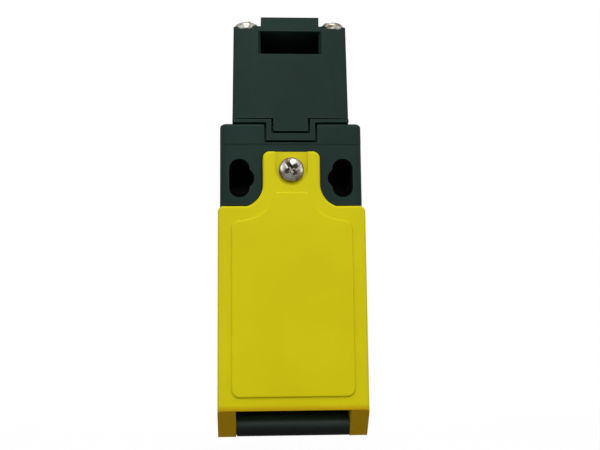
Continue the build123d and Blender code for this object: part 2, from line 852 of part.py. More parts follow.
def cam_lobe_edges():
    """Outline of one cam: its lift grows evenly with the turn under a flat follower.

    The outline is given by its distance from the axis, measured square to the flat follower, which
    falls evenly over the turn. The rest of the outline runs straight back to the hub.
    """
    fall = cam_lift / math.radians(wheel_turn)
    flank = []
    for index in range(cam_points):
        turn = math.radians(wheel_turn) * index / (cam_points - 1)
        angle = math.radians(270) + turn
        height = cam_high - fall * turn
        flank.append(
            (
                height * math.cos(angle) + fall * math.sin(angle),
                height * math.sin(angle) - fall * math.cos(angle),
            )
        )
    with BuildLine() as line:
        Spline(flank)
        Polyline(flank[-1], (wheel_root_radius, 0), (-wheel_root_radius, 0), flank[0])
    return line.edges()


def make_key_wheel():
    """Wheel that the key turns: a toothed disc between two cams, with a hub to each side."""
    hub_half = chamber_width / 2 - wheel_side_gap
    cam_half = hub_half - wheel_shoulder
    tooth_length = wheel_tip_radius - wheel_root_radius / 2
    with BuildPart() as wheel:
        with BuildSketch(side_plane(-wheel_disc_width / 2, wheel_y, wheel_z)):
            Circle(wheel_root_radius)
            for angle in wheel_tooth_angles:
                with PolarLocations(wheel_tip_radius - tooth_length / 2, 1, start_angle=angle):
                    RectangleRounded(tooth_length, wheel_tooth_width, wheel_tooth_tip_radius)
        extrude(amount=wheel_disc_width)
        with BuildSketch(side_plane(-cam_half, wheel_y, wheel_z)):
            Circle(wheel_root_radius)
            make_face(cam_lobe_edges())
        extrude(amount=2 * cam_half)
        cross_pin(wheel_hub_radius, (-hub_half, hub_half), wheel_y, wheel_z)
        cross_pin(
            axle_radius + axle_clearance, (-hub_half, hub_half), wheel_y, wheel_z, mode=Mode.SUBTRACT
        )
    return wheel


def make_wheel_axle():
    """Steel pin that carries the wheel."""
    with BuildPart() as axle:
        cross_pin(axle_radius, (-axle_length / 2, axle_length / 2), wheel_y, wheel_z)
    return axle


def make_plunger():
    """Plunger with a flat mushroom head under the cams."""
    with BuildPart() as plunger:
        upright(plunger_radius, 0, wheel_y, (plunger_foot, plunger_head_foot))
        upright(plunger_head_radius, 0, wheel_y, (plunger_head_foot, plunger_top))
    return plunger


def make_sleeve(outer, inner, low, high):
    """A plain sleeve or washer round the plunger."""
    with BuildPart() as sleeve:
        upright(outer, 0, wheel_y, (low, high))
        upright(inner, 0, wheel_y, (low, high), mode=Mode.SUBTRACT)
    return sleeve


def make_contact_base():
    """Moulded base of the contact block, with its slide, its shelves and a hollow rear."""
    with BuildPart() as base:
        block((-contact_half, contact_half), (contact_front, contact_back), (contact_foot, contact_top))
        block(
            (-contact_inner_half, contact_inner_half),
            (contact_front, web_front),
            (contact_inner_foot, contact_inner_top),
            mode=Mode.SUBTRACT,
        )
        rear_half = contact_half - contact_rear_wall
        block(
            (-rear_half, rear_half),
            (web_front + contact_web, contact_back),
            (contact_inner_foot, contact_inner_top),
            mode=Mode.SUBTRACT,
        )
        rib_inner = slider_size / 2 + slider_gap
        shelf_top = strip_foots[1]
        for side in (-1, 1):
            near, far = sorted((side * rib_inner, side * (rib_inner + contact_rib_width)))
            block(
                (near, far),
                (web_front - contact_rib_reach, web_front),
                (contact_inner_foot, contact_inner_top),
            )
            near, far = sorted((side * strip_inner, side * contact_inner_half))
            block((near, far), (cap_back, web_front), (shelf_top - shelf_support, shelf_top))
        upright(
            stem_radius + slider_gap, 0, wheel_y, (contact_inner_top, contact_top), mode=Mode.SUBTRACT
        )
    return base


def make_contact_cap():
    """Front cap of the contact block, with ribs that part the four terminals."""
    half = contact_inner_half - cap_side_gap
    low = contact_inner_foot + cap_side_gap
    high = contact_inner_top - cap_side_gap
    rib_middle = (strip_foots[0] - tab_length + strip_foots[1] + strip_thickness) / 2
    with BuildPart() as cap:
        block((-half, half), (cap_front, cap_back), (low, high))
        block((-cap_rib_half, cap_rib_half), (contact_front, cap_front), (low, high))
        block(
            (-half, half),
            (contact_front, cap_front),
            (rib_middle - cap_rib_height / 2, rib_middle + cap_rib_height / 2),
        )
        for foot in strip_foots:
            for side in (-1, 1):
                near, far = sorted((side * (strip_inner - cap_slot_gap), side * (half + 1)))
                block(
                    (near, far),
                    (cap_front, cap_back),
                    (foot - cap_slot_gap, foot + strip_thickness + cap_slot_gap),
                    mode=Mode.SUBTRACT,
                )
        for x, z in terminal_places:
            level_pin(
                terminal_screw_radius + terminal_hole_gap, x, z, cap_front, cap_back, mode=Mode.SUBTRACT
            )
    return cap


def make_contact_strips():
    """Four fixed contact strips, each bent down in front to take a terminal screw."""
    with BuildPart() as strips:
        for foot in strip_foots:
            for side in (-1, 1):
                near, far = sorted((side * strip_inner, side * strip_outer))
                block((near, far), (tab_front, wheel_y + strip_rear), (foot, foot + strip_thickness))
                block((near, far), (tab_front, cap_front), (foot - tab_length, foot + strip_thickness))
        for x, z in terminal_places:
            level_pin(
                terminal_screw_radius + terminal_hole_gap, x, z, tab_front, cap_front, mode=Mode.SUBTRACT
            )
    return strips


def make_fixed_contact_tips():
    """Silver tips on the fixed strips."""
    nc_strip, no_strip = strip_foots
    with BuildPart() as tips:
        for side in (-1, 1):
            upright(tip_radius, side * tip_offset, wheel_y, (nc_strip - tip_height, nc_strip))
            no_face = no_strip + strip_thickness
            upright(tip_radius, side * tip_offset, wheel_y, (no_face, no_face + tip_height))
    return tips


def make_bridge(foot, tip_side):
    """Contact bridge across the carrier, with a tip at each end on its upper or lower side."""
    top = foot + bridge_thickness
    half = bridge_width / 2
    tip_range = (top, top + tip_height) if tip_side > 0 else (foot - tip_height, foot)
    with BuildPart() as bridge:
        block((-bridge_length / 2, bridge_length / 2), (wheel_y - half, wheel_y + half), (foot, top))
        for side in (-1, 1):
            upright(tip_radius, side * tip_offset, wheel_y, tip_range)
    return bridge


def make_contact_carrier():
    """Sliding carrier with one window for each contact bridge and a stem under the plunger."""
    half = slider_size / 2
    with BuildPart() as carrier:
        block((-half, half), (wheel_y - half, wheel_y + half), (slider_foot, slider_top))
        upright(stem_radius, 0, wheel_y, (slider_top, stem_top))
        for top in (upper_window_top, lower_window_top):
            block(
                (-half, half),
                (wheel_y - window_depth / 2, wheel_y + window_depth / 2),
                (top - window_height, top),
                mode=Mode.SUBTRACT,
            )
    return carrier


def make_terminal_screws():
    """Four slotted terminal screws."""
    seat = tab_front - clamp_thickness
    face = seat - terminal_head_height
    with BuildPart() as screws:
        for x, z in terminal_places:
            level_pin(terminal_head_radius, x, z, face, seat)
            level_pin(terminal_screw_radius, x, z, seat, seat + terminal_screw_length)
            plane = Plane(origin=(x, face, z), x_dir=(1, 0, 0), z_dir=(0, -1, 0))
            cut_cross(plane, 2 * terminal_head_radius, slot_cut_width, slot_cut_depth)
    return screws


def make_clamp_plates():
    """Four square washers that press the wires against the strips."""
    wide = clamp_half_width
    tall = clamp_half_height
    with BuildPart() as clamps:
        for x, z in terminal_places:
            block((x - wide, x + wide), (tab_front - clamp_thickness, tab_front), (z - tall, z + tall))
            level_pin(
                terminal_screw_radius + terminal_hole_gap,
                x,
                z,
                tab_front - clamp_thickness,
                tab_front,
                mode=Mode.SUBTRACT,
            )
    return clamps


if __name__ == "__main__":
    os.makedirs("parts", exist_ok=True)
    nc_bridge_foot = nc_bridge_top - bridge_thickness
    nc_window_foot = upper_window_top - window_height
    no_bridge_top = no_bridge_foot + bridge_thickness
    pieces = {
        "body_housing": make_body_housing(),
        "cover": make_cover(),
        "cover_gasket": make_cover_gasket(),
        "cover_screw": make_cover_screw(),
        "screw_retaining_ring": make_screw_retaining_ring(),
        "cover_screw_insert": make_cover_screw_insert(),
        "head_housing": make_head_housing(),
        "head_base_plate": make_head_base_plate(),
        "head_seal": make_head_seal(),
        "head_screws": make_head_screws(),
        "head_screw_inserts": make_head_screw_inserts(),
        "key_wheel": make_key_wheel(),
        "wheel_axle": make_wheel_axle(),
        "plunger": make_plunger(),
        "plunger_bush": make_sleeve(
            bush_radius, plunger_radius + plunger_clearance, bush_foot, spring_pocket_foot
        ),
        "plunger_seal": make_sleeve(
            plunger_seal_radius,
            plunger_radius + plunger_seal_bore_gap,
            spring_pocket_foot,
            washer_foot,
        ),
        "plunger_washer": make_sleeve(
            washer_radius, plunger_radius + washer_bore_gap, washer_foot, washer_foot + washer_thickness
        ),
        "plunger_spring": helix_spring(
            plunger_spring_radius,
            plunger_spring_wire,
            plunger_spring_turns,
            plunger_spring_foot,
            plunger_head_foot - spring_end_gap,
            y=wheel_y,
        ),
        "contact_base": make_contact_base(),
        "contact_cap": make_contact_cap(),
        "contact_carrier": make_contact_carrier(),
        "contact_strips": make_contact_strips(),
        "fixed_contact_tips": make_fixed_contact_tips(),
        "safety_bridge": make_bridge(nc_bridge_foot, 1),
        "signal_bridge": make_bridge(no_bridge_foot, -1),
        "safety_spring": helix_spring(
            contact_spring_radius,
            contact_spring_wire,
            contact_spring_turns,
            nc_window_foot + spring_end_gap,
            nc_bridge_foot - spring_end_gap,
            y=wheel_y,
        ),
        "signal_spring": helix_spring(
            contact_spring_radius,
            contact_spring_wire,
            contact_spring_turns,
            no_bridge_top + spring_end_gap,
            lower_window_top - spring_end_gap,
            y=wheel_y,
        ),
        "return_spring": helix_spring(
            return_spring_radius,
            return_spring_wire,
            return_spring_turns,
            contact_inner_foot + spring_end_gap,
            slider_foot - spring_end_gap,
            y=wheel_y,
        ),
        "terminal_screws": make_terminal_screws(),
        "clamp_plates": make_clamp_plates(),
    }
    for name, piece in pieces.items():
        save(piece, name)
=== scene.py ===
"""Dressed model of a narrow tongue interlock switch with a hinged yellow wiring cover.

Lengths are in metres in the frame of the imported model: X runs to the right as the front is seen,
Y back towards the mounting face and Z up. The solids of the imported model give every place.
"""
import json
import logging
import math
from dataclasses import dataclass, field
from enum import Enum
from typing import Sequence, Union

import bmesh
import bpy
from mathutils import Matrix, Vector


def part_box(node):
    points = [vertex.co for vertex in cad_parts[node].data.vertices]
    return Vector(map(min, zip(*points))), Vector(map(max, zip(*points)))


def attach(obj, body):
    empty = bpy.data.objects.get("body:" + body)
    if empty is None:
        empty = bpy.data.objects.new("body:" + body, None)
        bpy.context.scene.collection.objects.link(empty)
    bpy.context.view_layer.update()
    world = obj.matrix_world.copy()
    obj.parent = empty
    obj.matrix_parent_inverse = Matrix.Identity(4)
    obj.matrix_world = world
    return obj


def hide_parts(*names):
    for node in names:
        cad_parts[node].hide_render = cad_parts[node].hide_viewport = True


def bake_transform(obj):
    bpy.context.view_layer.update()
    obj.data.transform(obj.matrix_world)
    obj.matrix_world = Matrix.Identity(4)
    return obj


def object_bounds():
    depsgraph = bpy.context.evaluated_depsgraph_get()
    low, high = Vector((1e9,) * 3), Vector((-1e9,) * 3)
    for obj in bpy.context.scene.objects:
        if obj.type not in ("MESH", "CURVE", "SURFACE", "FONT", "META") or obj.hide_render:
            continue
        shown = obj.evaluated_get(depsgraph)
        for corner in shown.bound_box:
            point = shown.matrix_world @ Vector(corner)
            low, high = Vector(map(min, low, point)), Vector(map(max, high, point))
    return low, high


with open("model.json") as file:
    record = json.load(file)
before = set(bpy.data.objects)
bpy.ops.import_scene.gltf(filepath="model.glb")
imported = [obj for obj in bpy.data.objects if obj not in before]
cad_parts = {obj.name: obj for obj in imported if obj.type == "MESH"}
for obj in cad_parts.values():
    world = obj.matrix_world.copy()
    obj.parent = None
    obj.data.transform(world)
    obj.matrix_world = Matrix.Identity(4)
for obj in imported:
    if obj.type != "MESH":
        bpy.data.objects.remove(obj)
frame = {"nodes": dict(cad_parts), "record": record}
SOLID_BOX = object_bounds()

LOG = logging.getLogger("switch")
MM = 0.001
IMAGE_WIDTH = 600
SENSOR_WIDTH = 36.0
ORDER_LINE = Vector((1.0, 0.7312, 0.4713))
MERGE_DISTANCE = 0.0005 * MM
DOUBLE_DISTANCE = 0.0002 * MM
THREAD_FOOT_SHARE = 0.46
THREAD_CREST_SHARE = 0.07

Colour = tuple[float, float, float]
Number = Union[float, "Wire"]


# Shader nodes


class Wire:
    """One output socket of a material's nodes, with arithmetic that adds Math nodes."""

    def __init__(self, tree: "Tree", socket: bpy.types.NodeSocket) -> None:
        """Wrap a socket.

        Args:
            tree: The nodes that the socket belongs to.
            socket: The output socket.
        """
        self.tree = tree
        self.socket = socket

    def _math(self, operation: str, *values: Number) -> "Wire":
        """Add one Math node.

        Args:
            operation: The Math node's operation.
            values: What goes into its sockets, in order.

        Returns:
            The node's output.
        """
        return self.tree.add("Math", {"operation": operation}, dict(enumerate(values)))

    def __add__(self, other: Number) -> "Wire":
        """Sum of two values."""
        return self._math("ADD", self, other)

    def __radd__(self, other: Number) -> "Wire":
        """Sum of two values."""
        return self._math("ADD", other, self)

    def __sub__(self, other: Number) -> "Wire":
        """Difference of two values."""
        return self._math("SUBTRACT", self, other)

    def __rsub__(self, other: Number) -> "Wire":
        """Difference of two values."""
        return self._math("SUBTRACT", other, self)

    def __mul__(self, other: Number) -> "Wire":
        """Product of two values."""
        return self._math("MULTIPLY", self, other)

    def __rmul__(self, other: Number) -> "Wire":
        """Product of two values."""
        return self._math("MULTIPLY", other, self)

    def away(self) -> "Wire":
        """Distance of a value from zero."""
        return self._math("ABSOLUTE", self)

    def span(self, low: float, high: float) -> "Wire":
        """Where a value lies between two levels, held between 0 and 1.

        Args:
            low: The level that gives 0.
            high: The level that gives 1.

        Returns:
            The share of the way from low to high.
        """
        return self.tree.add("MapRange", {"clamp": True}, {"Value": self, "From Min": low, "From Max": high})


class Tree:
    """The nodes of one material."""

    def __init__(self, name: str) -> None:
        """Start an empty material.

        Args:
            name: The material's name.
        """
        self.material = bpy.data.materials.new(name)
        self.material.use_nodes = True
        self.tree = self.material.node_tree
        self.tree.nodes.clear()

    def add(
        self,
        kind: str,
        settings: dict[str, object] | None = None,
        inputs: dict[int | str, object] | None = None,
        output: int | str = 0,
    ) -> Wire:
        """Add one node.

        Args:
            kind: The node's type without its ShaderNode prefix.
            settings: The node's own properties, which are set first.
            inputs: Values or wires for its sockets, by name or number.
            output: The output that is wanted.

        Returns:
            That output.
        """
        node = self.tree.nodes.new("ShaderNode" + kind)
        for key, value in (settings or {}).items():
            setattr(node, key, value)
        for key, value in (inputs or {}).items():
            if isinstance(value, Wire):
                self.tree.links.new(value.socket, node.inputs[key])
            else:
                node.inputs[key].default_value = value
        return Wire(self, node.outputs[output])

    def place(self) -> Wire:
        """Place on the object, in metres."""
        return self.add("TexCoord", output="Object")

    def axis(self, index: int) -> Wire:
        """Place on the object along one axis.

        Args:
            index: 0, 1 or 2 for X, Y or Z.

        Returns:
            The place in metres.
        """
        return self.add("SeparateXYZ", inputs={"Vector": self.place()}, output=index)

    def noise(self, size: float, detail: float = 2.0) -> Wire:
        """Soft random pattern.

        Args:
            size: Size of its patches in metres.
            detail: How many finer layers it holds.

        Returns:
            A value around one half.
        """
        return self.add("TexNoise", inputs={"Vector": self.place(), "Scale": 1.0 / size, "Detail": detail})

    def cells(self, size: float) -> Wire:
        """Distance from the nearest of a cloud of points.

        Args:
            size: Distance between the points in metres.

        Returns:
            A value from 0 at each point to about 1 between them.
        """
        return self.add("TexVoronoi", inputs={"Vector": self.place(), "Scale": 1.0 / size})

    def mix(self, share: Number, low: object, high: object) -> Wire:
        """Mix two colours.

        Args:
            share: How much of the second colour.
            low: The first colour.
            high: The second colour.

        Returns:
            The mixed colour.
        """
        colours = [value if isinstance(value, Wire) else (*value, 1.0) for value in (low, high)]
        inputs = {0: share, 6: colours[0], 7: colours[1]}
        return self.add("Mix", {"data_type": "RGBA"}, inputs, output=2)

    def edges(self, radius: float) -> Wire:
        """Mask of the sharp edges.

        Args:
            radius: How far the mask reaches from an edge, in metres.

        Returns:
            0 on open faces and 1 at edges.
        """
        rounded = self.add("Bevel", {"samples": 4}, {"Radius": radius})
        plain = self.add("NewGeometry", output="Normal")
        facing = self.add("VectorMath", {"operation": "DOT_PRODUCT"}, {0: rounded, 1: plain}, output="Value")
        return (1.0 - facing).span(0.01, 0.22)

    def bump(self, height: Number, distance: float) -> Wire:
        """Relief in the surface.

        Args:
            height: The height pattern, from 0 to 1.
            distance: What a height of 1 stands for, in metres.

        Returns:
            The bent normal.
        """
        inputs = {"Height": height, "Distance": distance, "Strength": 1.0}
        return self.add("Bump", inputs=inputs, output="Normal")

    def surface(self, colour: Wire, roughness: Number, normal: Wire, **fixed: Number) -> bpy.types.Material:
        """Close the material with its shader.

        Args:
            colour: Base colour.
            roughness: Roughness.
            normal: Bent normal.
            fixed: Other sockets of the shader, with underscores for spaces.

        Returns:
            The material.
        """
        inputs = {"Base Color": colour, "Roughness": roughness, "Normal": normal}
        inputs.update({key.replace("_", " "): value for key, value in fixed.items()})
        shader = self.add("BsdfPrincipled", inputs=inputs)
        self.add_output(shader)
        return self.material

    def add_output(self, shader: Wire) -> None:
        """Link a shader to the material's output."""
        node = self.tree.nodes.new("ShaderNodeOutputMaterial")
        self.tree.links.new(shader.socket, node.inputs["Surface"])


# Finishes


@dataclass(frozen=True)
class MouldedPlastic:
    """Injection-moulded plastic with a fine grain, soft drift in its colour, worn edges with a painted
    highlight and, where given, painted shade.
    """

    name: str
    colour: Colour
    deep: Colour
    # Colour of the worn edges, which also carries a painted highlight along them.
    worn_edge_highlight: Colour
    roughness: float
    specular: float
    grain: float = 0.25 * MM
    grain_height: float = 0.006 * MM
    edge_reach: float = 0.35 * MM
    drift_size: float = 14 * MM
    mask_blur: float = 0.2 * MM
    slot_fade: float = 1.5 * MM
    # Colour of the painted shade on the walls of the fixing slots.
    slot_shade_colour: Colour = (0.0006, 0.0006, 0.0006)
    slot_inner: float = 0.0
    slot_outer: float = 0.0
    slot_half_height: float = 0.0
    slot_face: float = 0.0
    slant_sum: float = 0.0
    slant_reach: float = 0.1 * MM
    slant_fade: float = 1.7 * MM
    # Colour of the painted shade on the slanted foot.
    slant_shade_colour: Colour = (0.36, 0.148, 0.0005)
    bar_radius: float = 0.0
    bar_along: float = 0.0
    bar_height: float = 0.0
    bar_shadow: Colour = (0.0006, 0.0014, 0.0012)
    bar_shadow_from: float = 0.2
    bar_shadow_full: float = -0.6
    bar_polish: float = 0.28
    bar_polish_roughness: float = 0.45

    def material(self) -> bpy.types.Material:
        """Material of this plastic."""
        tree = Tree(self.name)
        drift = tree.noise(self.drift_size, 3.0)
        flecks = tree.noise(self.grain, 3.0)
        pits = tree.cells(3 * self.grain)
        edge = tree.edges(self.edge_reach)
        colour = tree.mix(drift.span(0.3, 0.7), self.colour, self.deep)
        colour = tree.mix(flecks.span(0.35, 0.75) * 0.35, colour, self.deep)
        # Worn edges, partly a painted highlight: every sharp edge turns lighter.
        colour = tree.mix(edge * (0.35 + 0.5 * drift), colour, self.worn_edge_highlight)
        roughness = self.roughness + (flecks - 0.5) * 0.22 + (drift - 0.5) * 0.16 - edge * 0.06
        if self.slot_outer:
            # Painted shade: the walls of the fixing slots turn nearly black and matt.
            slot_shade = self._slot_shade_mask(tree)
            colour = tree.mix(slot_shade * 0.9, colour, self.slot_shade_colour)
            roughness = roughness + slot_shade * 0.5
        if self.slant_sum:
            # Painted shade: the slanted foot of the cover turns dark brown.
            colour = tree.mix(self._on_slant(tree), colour, self.slant_shade_colour)
        extra = {"Specular_IOR_Level": self.specular}
        if self.bar_radius:
            # Painted shadow on the lower half of the hinge bar, and a glossy coat over the whole bar.
            on_bar = self._on_bar(tree)
            light = self.bar_height + self.bar_shadow_from * self.bar_radius
            dark = self.bar_height + self.bar_shadow_full * self.bar_radius
            colour = tree.mix(on_bar * tree.axis(2).span(light, dark), colour, self.bar_shadow)
            extra["Coat_Weight"] = on_bar * self.bar_polish
            extra["Coat_Roughness"] = self.bar_polish_roughness
        relief = flecks * 0.7 + pits * 0.3
        normal = tree.bump(relief, self.grain_height)
        return tree.surface(colour, roughness, normal, **extra)

    def _on_slant(self, tree: Tree) -> Wire:
        """Mask of the slanted foot, which gets painted shade.

        Args:
            tree: The material's nodes.

        Returns:
            1 on the slanted face, fading to 0 away from it.
        """
        gap = (tree.axis(1) + tree.axis(2) - self.slant_sum).away()
        return gap.span(self.slant_fade, self.slant_reach)

    def _on_bar(self, tree: Tree) -> Wire:
        """Mask of the hinge bar, which gets a painted shadow on its lower half and a coat where the cover's
        hooks polish it.

        Args:
            tree: The material's nodes.

        Returns:
            1 on the bar and 0 on everything else.
        """
        edge = self.bar_radius + self.mask_blur
        along = (tree.axis(1) - self.bar_along).away().span(edge + self.mask_blur, edge)
        level = (tree.axis(2) - self.bar_height).away().span(edge + self.mask_blur, edge)
        return along * level

    def _slot_shade_mask(self, tree: Tree) -> Wire:
        """Mask of the walls of the two fixing slots, which get painted shade.

        Args:
            tree: The material's nodes.

        Returns:
            1 on the walls and 0 on everything else.
        """
        across, along, height = (tree.axis(index) for index in range(3))
        side = across.away()
        inner = side.span(self.slot_inner - self.mask_blur, self.slot_inner)
        outer = side.span(self.slot_outer + self.mask_blur, self.slot_outer)
        level = height.away().span(self.slot_half_height + self.mask_blur, self.slot_half_height)
        front = along.span(self.slot_face, self.slot_face + self.slot_fade)
        rear = along.span(-self.mask_blur, -self.slot_fade)
        return inner * outer * level * front * rear


@dataclass(frozen=True)
class PlatedSteel:
    """Zinc-plated steel with fine turning marks, patches where the plating has dulled and rusted, and
    painted shade at its edges and in its recesses.
    """

    name: str
    colour: Colour
    dull: Colour
    rust: Colour
    roughness: float
    rust_share: float
    # Colour of the painted shade at edges and in recesses.
    edge_shade: Colour = (0.045, 0.038, 0.026)
    edge_shade_reach: float = 0.75 * MM
    cloud_size: float = 1.6 * MM
    fine_size: float = 0.12 * MM
    relief: float = 0.012 * MM

    def material(self) -> bpy.types.Material:
        """Material of this plating."""
        tree = Tree(self.name)
        cloud = tree.noise(self.cloud_size, 5.0)
        fine = tree.noise(self.fine_size, 4.0)
        edge_shade = tree.edges(self.edge_shade_reach)
        rusted = (cloud + fine * 0.25).span(0.86 - self.rust_share, 0.98 - self.rust_share)
        colour = tree.mix(cloud.span(0.35, 0.65), self.colour, self.dull)
        colour = tree.mix(rusted, colour, self.rust)
        # Painted shade: edges and the corners of recesses turn dark.
        colour = tree.mix(edge_shade * 0.9, colour, self.edge_shade)
        roughness = self.roughness + (fine - 0.5) * 0.25 + rusted * 0.35 + edge_shade * 0.2
        normal = tree.bump(fine * 0.5 + rusted * 0.5, self.relief)
        return tree.surface(colour, roughness, normal, Metallic=1.0 - rusted * 0.8)


@dataclass(frozen=True)
class BareMetal:
    """Unplated or polished metal with drawn or rolled marks and a faint tarnish."""

    name: str
    colour: Colour
    tarnish: Colour
    roughness: float
    mark: float = 0.08 * MM
    mark_height: float = 0.003 * MM
    cloud_size: float = 2.2 * MM
    edge_reach: float = 0.2 * MM

    def material(self) -> bpy.types.Material:
        """Material of this metal."""
        tree = Tree(self.name)
        cloud = tree.noise(self.cloud_size, 4.0)
        marks = tree.noise(self.mark, 3.0)
        edge = tree.edges(self.edge_reach)
        colour = tree.mix(cloud.span(0.4, 0.7) * 0.6, self.colour, self.tarnish)
        colour = tree.mix(edge * 0.4, colour, self.colour)
        roughness = self.roughness + (marks - 0.5) * 0.2 + (cloud - 0.5) * 0.14
        normal = tree.bump(marks, self.mark_height)
        return tree.surface(colour, roughness, normal, Metallic=1.0)


@dataclass(frozen=True)
class SinteredMetal:
    """Pressed and sintered steel: grey, with open pores and edges polished by use."""

    name: str
    colour: Colour
    pore: Colour
    polished: Colour
    roughness: float
    pore_gap: float = 0.22 * MM
    pore_depth: float = 0.01 * MM
    cloud_size: float = 1.8 * MM
    edge_reach: float = 0.3 * MM

    def material(self) -> bpy.types.Material:
        """Material of this metal."""
        tree = Tree(self.name)
        pores = tree.cells(self.pore_gap).span(0.28, 0.12)
        cloud = tree.noise(self.cloud_size, 4.0)
        edge = tree.edges(self.edge_reach)
        colour = tree.mix(cloud.span(0.3, 0.7) * 0.5, self.colour, self.pore)
        colour = tree.mix(edge, colour, self.polished)
        colour = tree.mix(pores * 0.7, colour, self.pore)
        roughness = self.roughness + (cloud - 0.5) * 0.2 - edge * 0.2 + pores * 0.15
        normal = tree.bump(1.0 - pores, self.pore_depth)
        return tree.surface(colour, roughness, normal, Metallic=0.9)


@dataclass(frozen=True)
class SealRubber:
    """Matt black rubber with a bloom of dust."""

    name: str
    colour: Colour
    bloom: Colour
    roughness: float = 0.72
    cloud_size: float = 3 * MM
    fine_size: float = 0.15 * MM
    edge_reach: float = 0.25 * MM
    relief: float = 0.008 * MM

    def material(self) -> bpy.types.Material:
        """Material of this rubber."""
        tree = Tree(self.name)
        cloud = tree.noise(self.cloud_size, 4.0)
        fine = tree.noise(self.fine_size, 3.0)
        edge = tree.edges(self.edge_reach)
        colour = tree.mix(cloud.span(0.45, 0.75) * 0.5 + edge * 0.3, self.colour, self.bloom)
        roughness = self.roughness + (fine - 0.5) * 0.2 + (cloud - 0.5) * 0.1
        normal = tree.bump(fine, self.relief)
        return tree.surface(colour, roughness, normal, Specular_IOR_Level=0.25)


Finish = Union[MouldedPlastic, PlatedSteel, BareMetal, SinteredMetal, SealRubber]


class Slot(Enum):
    """Finish of each material slot in the record."""

    BLACK_PLASTIC = MouldedPlastic(
        "black_plastic",
        (0.0086, 0.0236, 0.0188),
        (0.0062, 0.0180, 0.0144),
        (0.020, 0.039, 0.033),
        roughness=0.56,
        specular=0.10,
        # The walls of the fixing slots get painted shade.
        slot_inner=8.2 * MM,
        slot_outer=14.2 * MM,
        slot_half_height=4.8 * MM,
        slot_face=-31.0 * MM,
        bar_radius=2.25 * MM,
        bar_along=-27.5 * MM,
        bar_height=-51.7 * MM,
    )
    YELLOW_PLASTIC = MouldedPlastic(
        "yellow_plastic",
        (0.582, 0.514, 0.0045),
        (0.545, 0.474, 0.0035),
        (0.615, 0.546, 0.008),
        roughness=0.42,
        specular=0.06,
        # The slanted foot of the cover gets painted shade.
        slant_sum=-82.15 * MM,
    )
    GREY_PLASTIC = MouldedPlastic(
        "grey_plastic", (0.190, 0.200, 0.200), (0.160, 0.170, 0.172), (0.260, 0.270, 0.270), 0.5, 0.35
    )
    NYLON = MouldedPlastic(
        "nylon", (0.660, 0.640, 0.560), (0.600, 0.575, 0.490), (0.740, 0.720, 0.650), 0.42, 0.4
    )
    SEAL_RUBBER = SealRubber("seal_rubber", (0.012, 0.013, 0.013), (0.045, 0.046, 0.045))
    ZINC_STEEL = PlatedSteel(
        "zinc_steel", (0.46, 0.45, 0.41), (0.20, 0.195, 0.175), (0.12, 0.052, 0.018), 0.32, 0.20
    )
    BRASS = BareMetal("brass", (0.78, 0.56, 0.24), (0.50, 0.34, 0.13), 0.3)
    POLISHED_STEEL = BareMetal("polished_steel", (0.72, 0.72, 0.71), (0.52, 0.52, 0.51), 0.18)
    SPRING_STEEL = BareMetal("spring_steel", (0.48, 0.48, 0.47), (0.30, 0.30, 0.29), 0.28)
    SILVER = BareMetal("silver", (0.82, 0.80, 0.75), (0.56, 0.53, 0.47), 0.26)
    SINTERED_STEEL = SinteredMetal(
        "sintered_steel", (0.32, 0.32, 0.31), (0.10, 0.10, 0.095), (0.60, 0.60, 0.58), 0.45
    )


class Finishes:
    """The materials of the record's slots, each made once."""

    def __init__(self) -> None:
        """Make every material."""
        self.made = {slot.value.name: slot.value.material() for slot in Slot}
        parts = frame["record"]["subparts"]
        self.slots = {part["node"]: part["material_slot"] for part in parts}

    def dress(self, piece: bpy.types.Object, slot: str) -> None:
        """Give a piece the finish of one slot.

        Args:
            piece: The object.
            slot: The slot's name in the record.
        """
        piece.data.materials.clear()
        piece.data.materials.append(self.made[slot])

    def dress_node(self, name: str) -> None:
        """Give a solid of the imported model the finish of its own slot.

        Args:
            name: The node's name.
        """
        piece = frame["nodes"][name]
        if not piece.material_slots:
            piece.data.materials.append(None)
        for slot in piece.material_slots:
            slot.material = self.made[self.slots[name]]
        LOG.info("%s: %s, as packed", name, self.slots[name])


# Modelling


